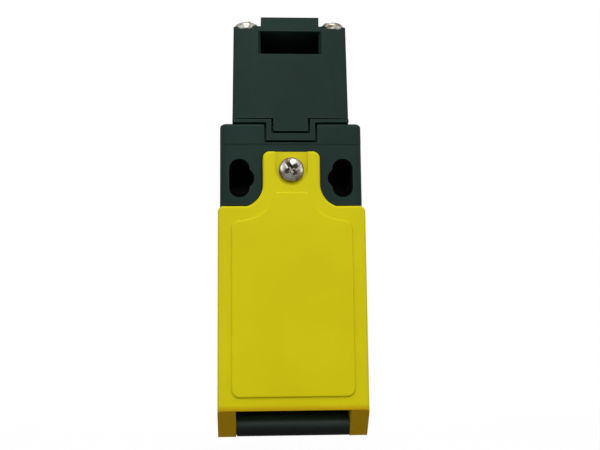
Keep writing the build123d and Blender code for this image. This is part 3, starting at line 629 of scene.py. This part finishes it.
class Mould:
    """One mesh in the making."""

    def __init__(self) -> None:
        """Start with an empty mesh."""
        self.mesh = bmesh.new()

    def load_node(self, name: str) -> None:
        """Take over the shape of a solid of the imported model, with its triangles joined into faces.

        Args:
            name: The node's name.
        """
        self.mesh.from_mesh(frame["nodes"][name].data)
        bmesh.ops.remove_doubles(self.mesh, verts=self.mesh.verts, dist=MERGE_DISTANCE)
        bmesh.ops.dissolve_limit(
            self.mesh, angle_limit=math.radians(0.6), verts=self.mesh.verts, edges=self.mesh.edges
        )

    def sharp_edges(self, least: float = 32.0) -> list[bmesh.types.BMEdge]:
        """Edges between two faces that meet at more than an angle.

        Args:
            least: The angle in degrees.

        Returns:
            The edges.
        """
        limit = math.radians(least)
        joined = (edge for edge in self.mesh.edges if len(edge.link_faces) == 2)
        return [edge for edge in joined if edge.calc_face_angle(0.0) > limit]

    def soften(self, width: float, segments: int = 2) -> None:
        """Round the sharp edges.

        Args:
            width: Width of the rounding in metres.
            segments: Number of faces across it.
        """
        bmesh.ops.bevel(
            self.mesh,
            geom=self.sharp_edges(),
            offset=width,
            offset_type="OFFSET",
            affect="EDGES",
            segments=segments,
            profile=0.5,
            material=-1,
            clamp_overlap=True,
            loop_slide=True,
        )

    def profile(
        self, points: Sequence[tuple[float, float]], closed: bool
    ) -> tuple[list[bmesh.types.BMVert], list[bmesh.types.BMEdge]]:
        """Draw a line of edges in the plane of X and Z.

        Args:
            points: Distance from the Z axis and height of each corner.
            closed: Whether the last corner joins the first.

        Returns:
            The corners and the edges.
        """
        corners = [self.mesh.verts.new((radius, 0.0, height)) for radius, height in points]
        pairs = list(zip(corners, corners[1:]))
        if closed:
            pairs.append((corners[-1], corners[0]))
        return corners, [self.mesh.edges.new(pair) for pair in pairs]

    def turn(self, points: Sequence[tuple[float, float]], steps: int) -> None:
        """Spin a line round the Z axis into a closed body.

        Args:
            points: Distance from the axis and height of each corner, both ends on the axis.
            steps: Number of faces round it.
        """
        corners, edges = self.profile(points, closed=False)
        bmesh.ops.spin(
            self.mesh,
            geom=corners + edges,
            cent=(0.0, 0.0, 0.0),
            axis=(0.0, 0.0, 1.0),
            angle=math.tau,
            steps=steps,
            use_merge=True,
        )
        bmesh.ops.remove_doubles(self.mesh, verts=self.mesh.verts, dist=MERGE_DISTANCE)

    def thread(self, root: float, crest: float, pitch: float, foot: float, top: float, steps: int) -> None:
        """Wind a thread round the Z axis.

        Args:
            root: Radius of its foot line.
            crest: Radius of its crest, inside or outside the root.
            pitch: Rise of each turn.
            foot: Where its middle starts.
            top: Where its middle ends.
            steps: Number of faces round each turn.
        """
        half = pitch * THREAD_FOOT_SHARE
        flat = pitch * THREAD_CREST_SHARE
        points = [(root, foot - half), (crest, foot - flat), (crest, foot + flat), (root, foot + half)]
        corners, edges = self.profile(points, closed=True)
        turns = (top - foot) / pitch
        count = max(3, round(turns * steps))
        made = bmesh.ops.spin(
            self.mesh,
            geom=[*corners, *edges],
            cent=(0.0, 0.0, 0.0),
            axis=(0.0, 0.0, 1.0),
            dvec=(0.0, 0.0, (top - foot) / count),
            angle=math.tau * turns,
            steps=count,
            use_merge=False,
        )
        last = [item for item in made["geom_last"] if isinstance(item, bmesh.types.BMEdge)]
        bmesh.ops.edgeloop_fill(self.mesh, edges=edges)
        bmesh.ops.edgeloop_fill(self.mesh, edges=last)

    def move(self, matrix: Matrix) -> None:
        """Move everything drawn so far.

        Args:
            matrix: The move.
        """
        bmesh.ops.transform(self.mesh, matrix=matrix, verts=self.mesh.verts)

    def settle(self) -> None:
        """Order corners, edges and faces by their places, so that each run gives the same mesh."""

        def reach(edge: bmesh.types.BMEdge) -> float:
            """Place of an edge along the line, doubled."""
            return (edge.verts[0].co + edge.verts[1].co).dot(ORDER_LINE)

        self.mesh.verts.sort(key=lambda corner: corner.co.dot(ORDER_LINE))
        self.mesh.edges.sort(key=reach)
        self.mesh.faces.sort(key=lambda face: face.calc_center_median().dot(ORDER_LINE))

    def outward(self) -> None:
        """Merge doubles and point every face outwards."""
        bmesh.ops.remove_doubles(self.mesh, verts=self.mesh.verts, dist=DOUBLE_DISTANCE)
        bmesh.ops.recalc_face_normals(self.mesh, faces=self.mesh.faces)
        self.settle()

    def finish(self, name: str, body: str | None, smooth: float = 32.0) -> bpy.types.Object:
        """Turn the mesh into an object that rides on a body.

        Args:
            name: The object's name.
            body: The body's name in the record, or nothing for a piece between two bodies.
            smooth: Angle in degrees above which an edge stays sharp.

        Returns:
            The object.
        """
        for face in self.mesh.faces:
            face.smooth = True
        for edge in self.sharp_edges(smooth):
            edge.smooth = False
        data = bpy.data.meshes.new(name)
        self.mesh.to_mesh(data)
        self.mesh.free()
        piece = bpy.data.objects.new(name, data)
        bpy.context.scene.collection.objects.link(piece)
        if body:
            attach(piece, body)
        return piece


def even_shading(piece: bpy.types.Object) -> None:
    """Let the large faces of a piece keep their own shading, so that only its roundings turn.

    Args:
        piece: The object.
    """
    modifier = piece.modifiers.new("even_shading", "WEIGHTED_NORMAL")
    modifier.keep_sharp = True
    modifier.weight = 50


def carve(piece: bpy.types.Object, cutter: bpy.types.Object) -> None:
    """Cut one object out of another and remove the cutter.

    Args:
        piece: What is cut.
        cutter: What is taken away.
    """
    modifier = piece.modifiers.new("cut", "BOOLEAN")
    modifier.operation = "DIFFERENCE"
    modifier.solver = "EXACT"
    modifier.object = cutter
    seen = piece.evaluated_get(bpy.context.evaluated_depsgraph_get())
    data = bpy.data.meshes.new_from_object(seen)
    piece.modifiers.clear()
    piece.data = data
    bpy.data.objects.remove(cutter)


def softened_copy(name: str, body: str, width: float, finishes: Finishes) -> bpy.types.Object:
    """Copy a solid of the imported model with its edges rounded, to stand for it.

    Args:
        name: The node's name.
        body: The body that it rides on.
        width: Width of the rounding.
        finishes: The materials.

    Returns:
        The copy.
    """
    mould = Mould()
    mould.load_node(name)
    mould.soften(width)
    return stand_for(mould, name, body, finishes)


def stand_for(mould: Mould, name: str, body: str, finishes: Finishes) -> bpy.types.Object:
    """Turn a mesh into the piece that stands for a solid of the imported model.

    Args:
        mould: The mesh.
        name: The node's name.
        body: The body that it rides on.
        finishes: The materials.

    Returns:
        The piece.
    """
    piece = mould.finish(name + "_moulding", body)
    even_shading(piece)
    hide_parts(name)
    finishes.dress(piece, finishes.slots[name])
    LOG.info("%s: %d faces", piece.name, len(piece.data.polygons))
    return piece


# Sub-assemblies


@dataclass
class Springs:
    """The coil springs, each held by one body at its fixed end and by another at its moving end."""

    def build(self, finishes: Finishes) -> None:
        """Build and dress the springs.

        Args:
            finishes: The materials.
        """
        for joint in frame["record"]["behaviour"]["joints"]:
            for held in joint.get("deforming_nodes", []):
                self._spring(held["node"], held["fixed_end_z_m"], finishes)

    def _spring(self, name: str, fixed: float, finishes: Finishes) -> None:
        """Make one spring between two bodies, as a still copy of its solid that rides on neither.

        Args:
            name: The node's name.
            fixed: Height of its fixed end.
            finishes: The materials.
        """
        low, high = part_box(name)
        moving = high.z if abs(low.z - fixed) < abs(high.z - fixed) else low.z
        mould = Mould()
        mould.mesh.from_mesh(frame["nodes"][name].data)
        mould.outward()
        piece = mould.finish(name + "_coil", None, 60.0)
        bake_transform(piece)
        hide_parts(name)
        finishes.dress(piece, finishes.slots[name])
        LOG.info("%s: %d faces", piece.name, len(piece.data.polygons))


@dataclass
class CrossScrew:
    """Pan head screw with a cross recess, standing along Z with its seat at the origin."""

    head_radius: float
    head_height: float
    core_radius: float
    thread_radius: float
    pitch: float
    length: float
    plain_length: float = 0.0
    recess_width: float = 1.0 * MM
    recess_length: float = 3.7 * MM
    recess_depth: float = 1.4 * MM
    recess_taper: float = 0.45
    recess_overshoot: float = 0.2 * MM
    wall_share: float = 0.35
    edge: float = 0.05 * MM
    thread_sink: float = 0.03 * MM
    dome_points: int = 7
    round_steps: int = 40

    def build(self, name: str, body: str) -> bpy.types.Object:
        """Make the screw.

        Args:
            name: The object's name.
            body: The body that it rides on.

        Returns:
            The screw, still along Z at the origin.
        """
        wall = self.wall_share * self.head_height
        rise = self.head_height - wall
        crown = []
        for index in range(self.dome_points):
            angle = math.pi / 2 * index / (self.dome_points - 1)
            crown.append((self.head_radius * math.sin(angle), wall + rise * math.cos(angle)))
        chamfer = self.core_radius / 2
        points = [
            *crown,
            (self.head_radius, 0.0),
            (self.core_radius, 0.0),
            (self.core_radius, chamfer - self.length),
            (self.core_radius - chamfer, -self.length),
            (0.0, -self.length),
        ]
        mould = Mould()
        mould.turn(points, self.round_steps)
        mould.outward()
        screw = mould.finish(name, body)
        carve(screw, self._recess())
        edged = Mould()
        edged.mesh.from_mesh(screw.data)
        edged.settle()
        edged.soften(self.edge)
        low = chamfer - self.length + self.pitch / 2
        root = self.core_radius - self.thread_sink
        edged.thread(root, self.thread_radius, self.pitch, low, -self.plain_length, self.round_steps)
        edged.outward()
        bpy.data.objects.remove(screw)
        return edged.finish(name, body)

    def _recess(self) -> bpy.types.Object:
        """Shape of the cross recess, which narrows towards its floor."""
        top = self.head_height + self.recess_overshoot
        drop = self.recess_depth + self.recess_overshoot
        mould = Mould()
        core = bmesh.ops.create_cube(mould.mesh, size=1.0)["verts"]
        size = Matrix.Diagonal((self.recess_width, self.recess_width, drop, 1.0))
        bmesh.ops.transform(mould.mesh, matrix=Matrix.Translation((0, 0, top - drop / 2)) @ size, verts=core)
        mould.mesh.normal_update()
        sides = [face for face in mould.mesh.faces if abs(face.normal.z) < 0.5]
        arms = bmesh.ops.extrude_discrete_faces(mould.mesh, faces=sides)["faces"]
        mould.mesh.normal_update()
        for arm in arms:
            reach = arm.normal * (self.recess_length - self.recess_width) / 2
            bmesh.ops.translate(mould.mesh, vec=reach, verts=arm.verts)
        floor = [corner for corner in mould.mesh.verts if corner.co.z < top - drop / 2]
        bmesh.ops.scale(mould.mesh, vec=(self.recess_taper, self.recess_taper, 1.0), verts=floor)
        mould.outward()
        parts = bpy.data.meshes.new("recess")
        mould.mesh.to_mesh(parts)
        mould.mesh.free()
        cutter = bpy.data.objects.new("recess", parts)
        bpy.context.scene.collection.objects.link(cutter)
        return cutter


def level_place(x: float, seat: float, z: float, turn: float) -> Matrix:
    """Place of a screw that looks out of the front.

    Args:
        x: Its axis along X.
        seat: Where its head rests along Y.
        z: Height of its axis.
        turn: How far it is turned, in degrees.

    Returns:
        The place, for a screw that stands along Z at the origin.
    """
    forward = Matrix.Rotation(math.pi / 2, 4, "X") @ Matrix.Rotation(math.radians(turn), 4, "Z")
    return Matrix.Translation((x, seat, z)) @ forward


def set_screws(
    screw: CrossScrew, places: Sequence[Matrix], name: str, node: str, body: str, finishes: Finishes
) -> None:
    """Make one screw, set it at each place and let them all stand for a solid.

    Args:
        screw: The screw.
        places: Where each stands.
        name: Name of the piece.
        node: The node's name.
        body: The body that it rides on.
        finishes: The materials.
    """
    first = screw.build(name + "_first", body)
    mould = Mould()
    for place in places:
        before = set(mould.mesh.verts)
        mould.mesh.from_mesh(first.data)
        added = [corner for corner in mould.mesh.verts if corner not in before]
        bmesh.ops.transform(mould.mesh, matrix=place, verts=added)
    bpy.data.objects.remove(first)
    piece = mould.finish(name, body)
    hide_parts(node)
    finishes.dress(piece, finishes.slots[node])
    LOG.info("%s: %d faces", piece.name, len(piece.data.polygons))


@dataclass
class HousingAssembly:
    """Black housing with its threaded cable entry, and what is let into it."""

    edge: float = 0.22 * MM
    entry_core: float = 9.19 * MM
    entry_root: float = 10.0 * MM
    entry_pitch: float = 1.5 * MM
    entry_reach: float = 12.0 * MM
    entry_lead: float = 0.9 * MM
    entry_sink: float = 0.05 * MM
    entry_steps: int = 72
    entry_runout: float = 0.6
    entry_slack: float = 0.02 * MM
    body: str = "housing"
    inner_nodes: tuple[str, ...] = ("cover_screw_insert", "head_screw_inserts")

    def build(self, finishes: Finishes) -> None:
        """Build and dress the housing.

        Args:
            finishes: The materials.
        """
        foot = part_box("body_housing")[0].z
        mould = Mould()
        mould.load_node("body_housing")
        wall = self._entry_wall(mould, foot)
        middle = sum((corner.co.y for corner in wall), 0.0) / len(wall)
        floor_top = max(corner.co.z for corner in wall)
        for corner in wall:
            away = Vector((corner.co.x, corner.co.y - middle, 0.0))
            corner.co += away.normalized() * (self.entry_root - away.length)
        mould.soften(self.edge)
        stand_for(mould, "body_housing", self.body, finishes)
        self._entry_thread(finishes, middle, foot, floor_top)
        for name in self.inner_nodes:
            finishes.dress_node(name)

    def _entry_wall(self, mould: Mould, foot: float) -> list[bmesh.types.BMVert]:
        """Corners on the wall of the cable entry.

        Args:
            mould: The housing's mesh.
            foot: Height of the housing's foot.

        Returns:
            The corners.
        """
        core, top = self.entry_core, foot + self.entry_reach
        low = [v for v in mould.mesh.verts if v.co.z < top]
        near = [v for v in low if abs(v.co.x) < self.entry_root]
        rim = [v for v in near if abs(abs(v.co.x) - core) < self.entry_slack / 2]
        middle = sum((v.co.y for v in rim), 0.0) / max(1, len(rim))
        reaches = ((v, math.hypot(v.co.x, v.co.y - middle)) for v in near)
        return [v for v, reach in reaches if abs(reach - core) < self.entry_slack]

    def _entry_thread(self, finishes: Finishes, middle: float, foot: float, top: float) -> None:
        """Wind the thread of the cable entry.

        Args:
            finishes: The materials.
            middle: Where the entry's axis stands along Y.
            foot: Height of the mouth.
            top: Height of the inner end.
        """
        mould = Mould()
        start = foot + self.entry_lead
        end = top - self.entry_runout * self.entry_pitch
        root = self.entry_root + self.entry_sink
        mould.thread(root, self.entry_core, self.entry_pitch, start, end, self.entry_steps)
        mould.move(Matrix.Translation((0.0, middle, 0.0)))
        mould.outward()
        piece = mould.finish("cable_entry_thread", self.body)
        finishes.dress(piece, "black_plastic")
        LOG.info("%s: %d faces", piece.name, len(piece.data.polygons))


@dataclass
class CoverAssembly:
    """Yellow wiring cover with its seal, its screw and the ring that keeps the screw."""

    edge: float = 0.22 * MM
    head_radius: float = 2.65 * MM
    head_height: float = 1.5 * MM
    core_radius: float = 1.6 * MM
    thread_radius: float = 1.98 * MM
    pitch: float = 0.7 * MM
    plain_length: float = 2.4 * MM
    screw_turn: float = 32.0

    def build(self, finishes: Finishes) -> None:
        """Build and dress the cover.

        Args:
            finishes: The materials.
        """
        softened_copy("cover", "cover", self.edge, finishes)
        for name in ("cover_gasket", "screw_retaining_ring"):
            finishes.dress_node(name)
        self._screw(finishes)

    def _screw(self, finishes: Finishes) -> None:
        """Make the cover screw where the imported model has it.

        Args:
            finishes: The materials.
        """
        low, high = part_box("cover_screw")
        seat = low.y + self.head_height
        screw = CrossScrew(
            head_radius=self.head_radius,
            head_height=self.head_height,
            core_radius=self.core_radius,
            thread_radius=self.thread_radius,
            pitch=self.pitch,
            length=high.y - seat,
            plain_length=self.plain_length,
        )
        place = level_place((low.x + high.x) / 2, seat, (low.z + high.z) / 2, self.screw_turn)
        set_screws(screw, [place], "cover_cross_screw", "cover_screw", "cover_screw", finishes)


@dataclass
class HeadAssembly:
    """Slotted key head on its base plate, held by four long screws."""

    edge: float = 0.2 * MM
    plate_edge: float = 0.12 * MM
    screw_head_radius: float = 2.75 * MM
    screw_head_height: float = 2.3 * MM
    screw_core_radius: float = 1.2 * MM
    screw_thread_radius: float = 1.45 * MM
    pitch: float = 0.5 * MM
    plain_length: float = 20.0 * MM
    screw_turns: tuple[float, ...] = (17.0, 58.0, 99.0, 140.0)
    body: str = "housing"

    def build(self, finishes: Finishes) -> None:
        """Build and dress the head.

        Args:
            finishes: The materials.
        """
        softened_copy("head_housing", self.body, self.edge, finishes)
        softened_copy("head_base_plate", self.body, self.plate_edge, finishes)
        finishes.dress_node("head_seal")
        self._screws(finishes)

    def _screws(self, finishes: Finishes) -> None:
        """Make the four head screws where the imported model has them.

        Args:
            finishes: The materials.
        """
        low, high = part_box("head_screws")
        seat = high.z - self.screw_head_height
        screw = CrossScrew(
            head_radius=self.screw_head_radius,
            head_height=self.screw_head_height,
            core_radius=self.screw_core_radius,
            thread_radius=self.screw_thread_radius,
            pitch=self.pitch,
            length=seat - low.z,
            plain_length=self.plain_length,
            recess_depth=1.6 * MM,
            round_steps=32,
        )
        inset = self.screw_head_radius
        spots = [(x, y) for x in (low.x + inset, high.x - inset) for y in (low.y + inset, high.y - inset)]
        places = [
            Matrix.Translation((x, y, seat)) @ Matrix.Rotation(math.radians(turn), 4, "Z")
            for (x, y), turn in zip(spots, self.screw_turns)
        ]
        set_screws(screw, places, "head_cross_screws", "head_screws", self.body, finishes)


@dataclass
class KeyMechanism:
    """Key wheel on its axle, and the plunger that the wheel lets rise."""

    nodes: tuple[str, ...] = (
        "key_wheel",
        "wheel_axle",
        "plunger",
        "plunger_bush",
        "plunger_seal",
        "plunger_washer",
    )

    def build(self, finishes: Finishes) -> None:
        """Dress the mechanism.

        Args:
            finishes: The materials.
        """
        for name in self.nodes:
            finishes.dress_node(name)


@dataclass
class ContactBlock:
    """Contact block with its carrier, bridges, strips and terminals."""

    edge: float = 0.12 * MM
    mouldings: dict[str, str] = field(
        default_factory=lambda: {
            "contact_base": "housing",
            "contact_cap": "housing",
            "contact_carrier": "carrier",
        }
    )
    nodes: tuple[str, ...] = (
        "contact_strips",
        "fixed_contact_tips",
        "safety_bridge",
        "signal_bridge",
        "clamp_plates",
    )
    screw_head_radius: float = 2.6 * MM
    screw_head_height: float = 1.8 * MM
    screw_core_radius: float = 1.0 * MM
    screw_thread_radius: float = 1.23 * MM
    pitch: float = 0.5 * MM
    screw_turns: tuple[float, ...] = (12.0, 71.0, 38.0, 150.0)

    def build(self, finishes: Finishes) -> None:
        """Build and dress the contact block.

        Args:
            finishes: The materials.
        """
        for name, body in self.mouldings.items():
            softened_copy(name, body, self.edge, finishes)
        for name in self.nodes:
            finishes.dress_node(name)
        self._screws(finishes)

    def _screws(self, finishes: Finishes) -> None:
        """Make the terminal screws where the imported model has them.

        Args:
            finishes: The materials.
        """
        low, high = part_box("terminal_screws")
        seat = low.y + self.screw_head_height
        screw = CrossScrew(
            head_radius=self.screw_head_radius,
            head_height=self.screw_head_height,
            core_radius=self.screw_core_radius,
            thread_radius=self.screw_thread_radius,
            pitch=self.pitch,
            length=high.y - seat,
        )
        inset = self.screw_head_radius
        spots = [(x, z) for x in (low.x + inset, high.x - inset) for z in (low.z + inset, high.z - inset)]
        places = [level_place(x, seat, z, turn) for (x, z), turn in zip(spots, self.screw_turns)]
        set_screws(screw, places, "terminal_cross_screws", "terminal_screws", "housing", finishes)


# Studio


@dataclass
class Studio:
    """Pale floor, soft lamps and the camera at the photograph's angle."""

    pivot: Colour = (0.0, -31.0 * MM, -9.0 * MM)
    offset: Colour = (-1.767 * MM, 198.30 * MM, 1.152 * MM)
    yaw: float = 0.0529
    pitch: float = -0.1476
    roll: float = -0.0109
    focal_pixels: float = 938.2
    floor_size: float = 4.0
    floor_drop: float = 15.5 * MM
    floor_grain: float = 30 * MM
    sky_light: float = 0.32
    floor_colour: Colour = (0.94, 0.94, 0.94)
    floor_colour_deep: Colour = (0.80, 0.80, 0.80)
    floor_bounce: Colour = (0.32, 0.32, 0.32)
    floor_glow: float = 0.74
    lamps: tuple[tuple[str, Colour, float, float], ...] = (
        ("top_lamp", (0.0, -0.42, 0.60), 0.40, 2.75),
        ("front_lamp", (0.0, -0.72, 0.36), 0.35, 2.05),
        ("left_lamp", (-0.62, -0.45, 0.20), 0.40, 1.0),
        ("right_lamp", (0.62, -0.45, 0.20), 0.40, 1.0),
        ("rear_lamp", (0.0, 0.62, 0.45), 0.40, 2.3),
    )

    def build(self) -> None:
        """Build the whole studio."""
        self._world()
        self._floor()
        self._lamps()
        self._camera()
        bpy.context.scene.view_settings.view_transform = "Standard"

    def _world(self) -> None:
        """White surroundings for the eye and for gloss, at a plain level for everything else."""
        world = bpy.data.worlds.new("studio_world")
        bpy.context.scene.world = world
        world.use_nodes = True
        nodes, links = world.node_tree.nodes, world.node_tree.links
        nodes.clear()
        path = nodes.new("ShaderNodeLightPath")
        either = nodes.new("ShaderNodeMath")
        either.operation = "MAXIMUM"
        links.new(path.outputs["Is Camera Ray"], either.inputs[0])
        links.new(path.outputs["Is Transmission Ray"], either.inputs[1])
        seen = nodes.new("ShaderNodeMath")
        seen.operation = "MAXIMUM"
        links.new(either.outputs[0], seen.inputs[0])
        links.new(path.outputs["Is Glossy Ray"], seen.inputs[1])
        light = nodes.new("ShaderNodeBackground")
        light.inputs["Strength"].default_value = self.sky_light
        white = nodes.new("ShaderNodeBackground")
        white.inputs["Strength"].default_value = 1.0
        for shade in (light, white):
            shade.inputs["Color"].default_value = (1.0, 1.0, 1.0, 1.0)
        mixed = nodes.new("ShaderNodeMixShader")
        links.new(seen.outputs[0], mixed.inputs[0])
        links.new(light.outputs[0], mixed.inputs[1])
        links.new(white.outputs[0], mixed.inputs[2])
        out = nodes.new("ShaderNodeOutputWorld")
        links.new(mixed.outputs[0], out.inputs["Surface"])

    def _floor(self) -> None:
        """Large floor, nearly white, which keeps the shadow and is clear when seen from below.

        It lies a little under the switch, so that the opened cover hangs free of it.
        """
        mould = Mould()
        bmesh.ops.create_grid(mould.mesh, x_segments=1, y_segments=1, size=self.floor_size / 2)
        data = bpy.data.meshes.new("studio_floor")
        mould.move(Matrix.Translation((0.0, 0.0, SOLID_BOX[0][2] - self.floor_drop)))
        mould.mesh.to_mesh(data)
        mould.mesh.free()
        floor = bpy.data.objects.new("studio_floor", data)
        bpy.context.scene.collection.objects.link(floor)
        tree = Tree("studio_floor")
        view = tree.add("LightPath", output="Is Camera Ray")
        grain = tree.noise(self.floor_grain, 2.0)
        colour = tree.mix(grain.span(0.3, 0.7) * 0.04, self.floor_colour, self.floor_colour_deep)
        matt = tree.add("BsdfDiffuse", inputs={"Color": tree.mix(view, self.floor_bounce, colour)})
        glow = tree.add("Emission", inputs={"Color": (1.0, 1.0, 1.0, 1.0), "Strength": 1.0})
        away = tree.add("VectorMath", {"operation": "LENGTH"}, {0: tree.place()}, output="Value")
        glow_share = self.floor_glow + away.span(0.12, 0.45) * (1.0 - self.floor_glow)
        seen = view * glow_share
        upper = tree.add("MixShader", inputs={0: seen, 1: matt, 2: glow})
        below = tree.add("NewGeometry", output="Backfacing")
        clear = tree.add("BsdfTransparent")
        tree.add_output(tree.add("MixShader", inputs={0: below, 1: upper, 2: clear}))
        floor.data.materials.append(tree.material)

    def _lamps(self) -> None:
        """Soft square lamps that face the switch."""
        for name, place, size, power in self.lamps:
            lamp = bpy.data.lights.new(name, "AREA")
            lamp.shape = "SQUARE"
            lamp.size = size
            lamp.energy = power
            holder = bpy.data.objects.new(name, lamp)
            bpy.context.scene.collection.objects.link(holder)
            away = Vector(place) - Vector(self.pivot)
            turned = away.to_track_quat("Z", "Y").to_matrix().to_4x4()
            holder.matrix_world = Matrix.Translation(place) @ turned

    def _camera(self) -> None:
        """Camera where the photograph was taken from."""
        camera = bpy.data.cameras.new("photo_camera")
        camera.sensor_fit = "HORIZONTAL"
        camera.sensor_width = SENSOR_WIDTH
        camera.lens = self.focal_pixels * SENSOR_WIDTH / IMAGE_WIDTH
        camera.clip_start = 0.01
        camera.clip_end = 20.0
        turned = (Matrix.Rotation(self.pitch, 3, "X") @ Matrix.Rotation(self.yaw, 3, "Z")).transposed()
        place = Vector(self.pivot) - turned @ Vector(self.offset)
        right, forward, up = (turned.col[index] for index in range(3))
        level = math.cos(self.roll) * right + math.sin(self.roll) * up
        upright = math.cos(self.roll) * up - math.sin(self.roll) * right
        facing = Matrix((level, upright, -forward)).transposed()
        holder = bpy.data.objects.new("photo_camera", camera)
        bpy.context.scene.collection.objects.link(holder)
        holder.matrix_world = Matrix.Translation(place) @ facing.to_4x4()
        bpy.context.scene.camera = holder


def main() -> None:
    """Build the switch and its studio."""
    logging.basicConfig(level=logging.INFO, format="%(message)s")
    finishes = Finishes()
    for assembly in (
        HousingAssembly(),
        CoverAssembly(),
        HeadAssembly(),
        KeyMechanism(),
        ContactBlock(),
        Springs(),
    ):
        assembly.build(finishes)
    Studio().build()


if __name__ == "__main__":
    main()
